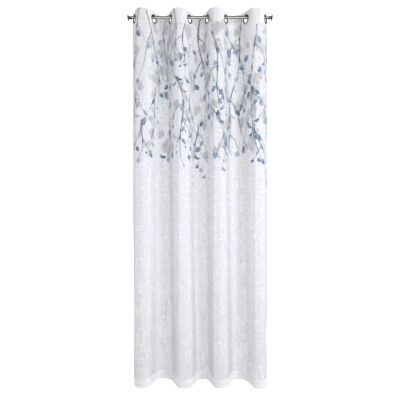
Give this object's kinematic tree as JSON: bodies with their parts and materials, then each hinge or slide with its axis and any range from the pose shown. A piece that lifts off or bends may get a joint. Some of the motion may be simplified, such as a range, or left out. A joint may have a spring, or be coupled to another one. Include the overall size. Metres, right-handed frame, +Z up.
{
  "type": "sheer voile eyelet curtain on a curtain rod",
  "caption": "Sheer printed voile curtain hanging in soft folds by metal eyelets threaded on a round curtain rod with flared finials.",
  "frame": {"origin": "middle of the curtain rod's axis, between its two ends", "axes": "+X along the rod to the right as seen from the room, +Y away from the room towards the window, +Z up"},
  "size_m": [0.976, 0.1296, 2.509],
  "materials": {
    "voile": "sheer slub voile",
    "heading_tape": "matte woven",
    "eyelet_nickel": "satin",
    "rod_nickel": "satin",
    "finial_pewter": "satin"
  },
  "bodies": {
    "root": {"curtain_panel": "voile", "heading_tape": "heading_tape", "rod": "rod_nickel", "finial_left": "finial_pewter", "finial_right": "finial_pewter", "eyelet_front_1": "eyelet_nickel", "eyelet_back_1": "eyelet_nickel", "eyelet_front_2": "eyelet_nickel", "eyelet_back_2": "eyelet_nickel", "eyelet_front_3": "eyelet_nickel", "eyelet_back_3": "eyelet_nickel", "eyelet_front_4": "eyelet_nickel", "eyelet_back_4": "eyelet_nickel", "eyelet_front_5": "eyelet_nickel", "eyelet_back_5": "eyelet_nickel", "eyelet_front_6": "eyelet_nickel", "eyelet_back_6": "eyelet_nickel", "eyelet_front_7": "eyelet_nickel", "eyelet_back_7": "eyelet_nickel", "eyelet_front_8": "eyelet_nickel", "eyelet_back_8": "eyelet_nickel"}
  },
  "joints": []
}
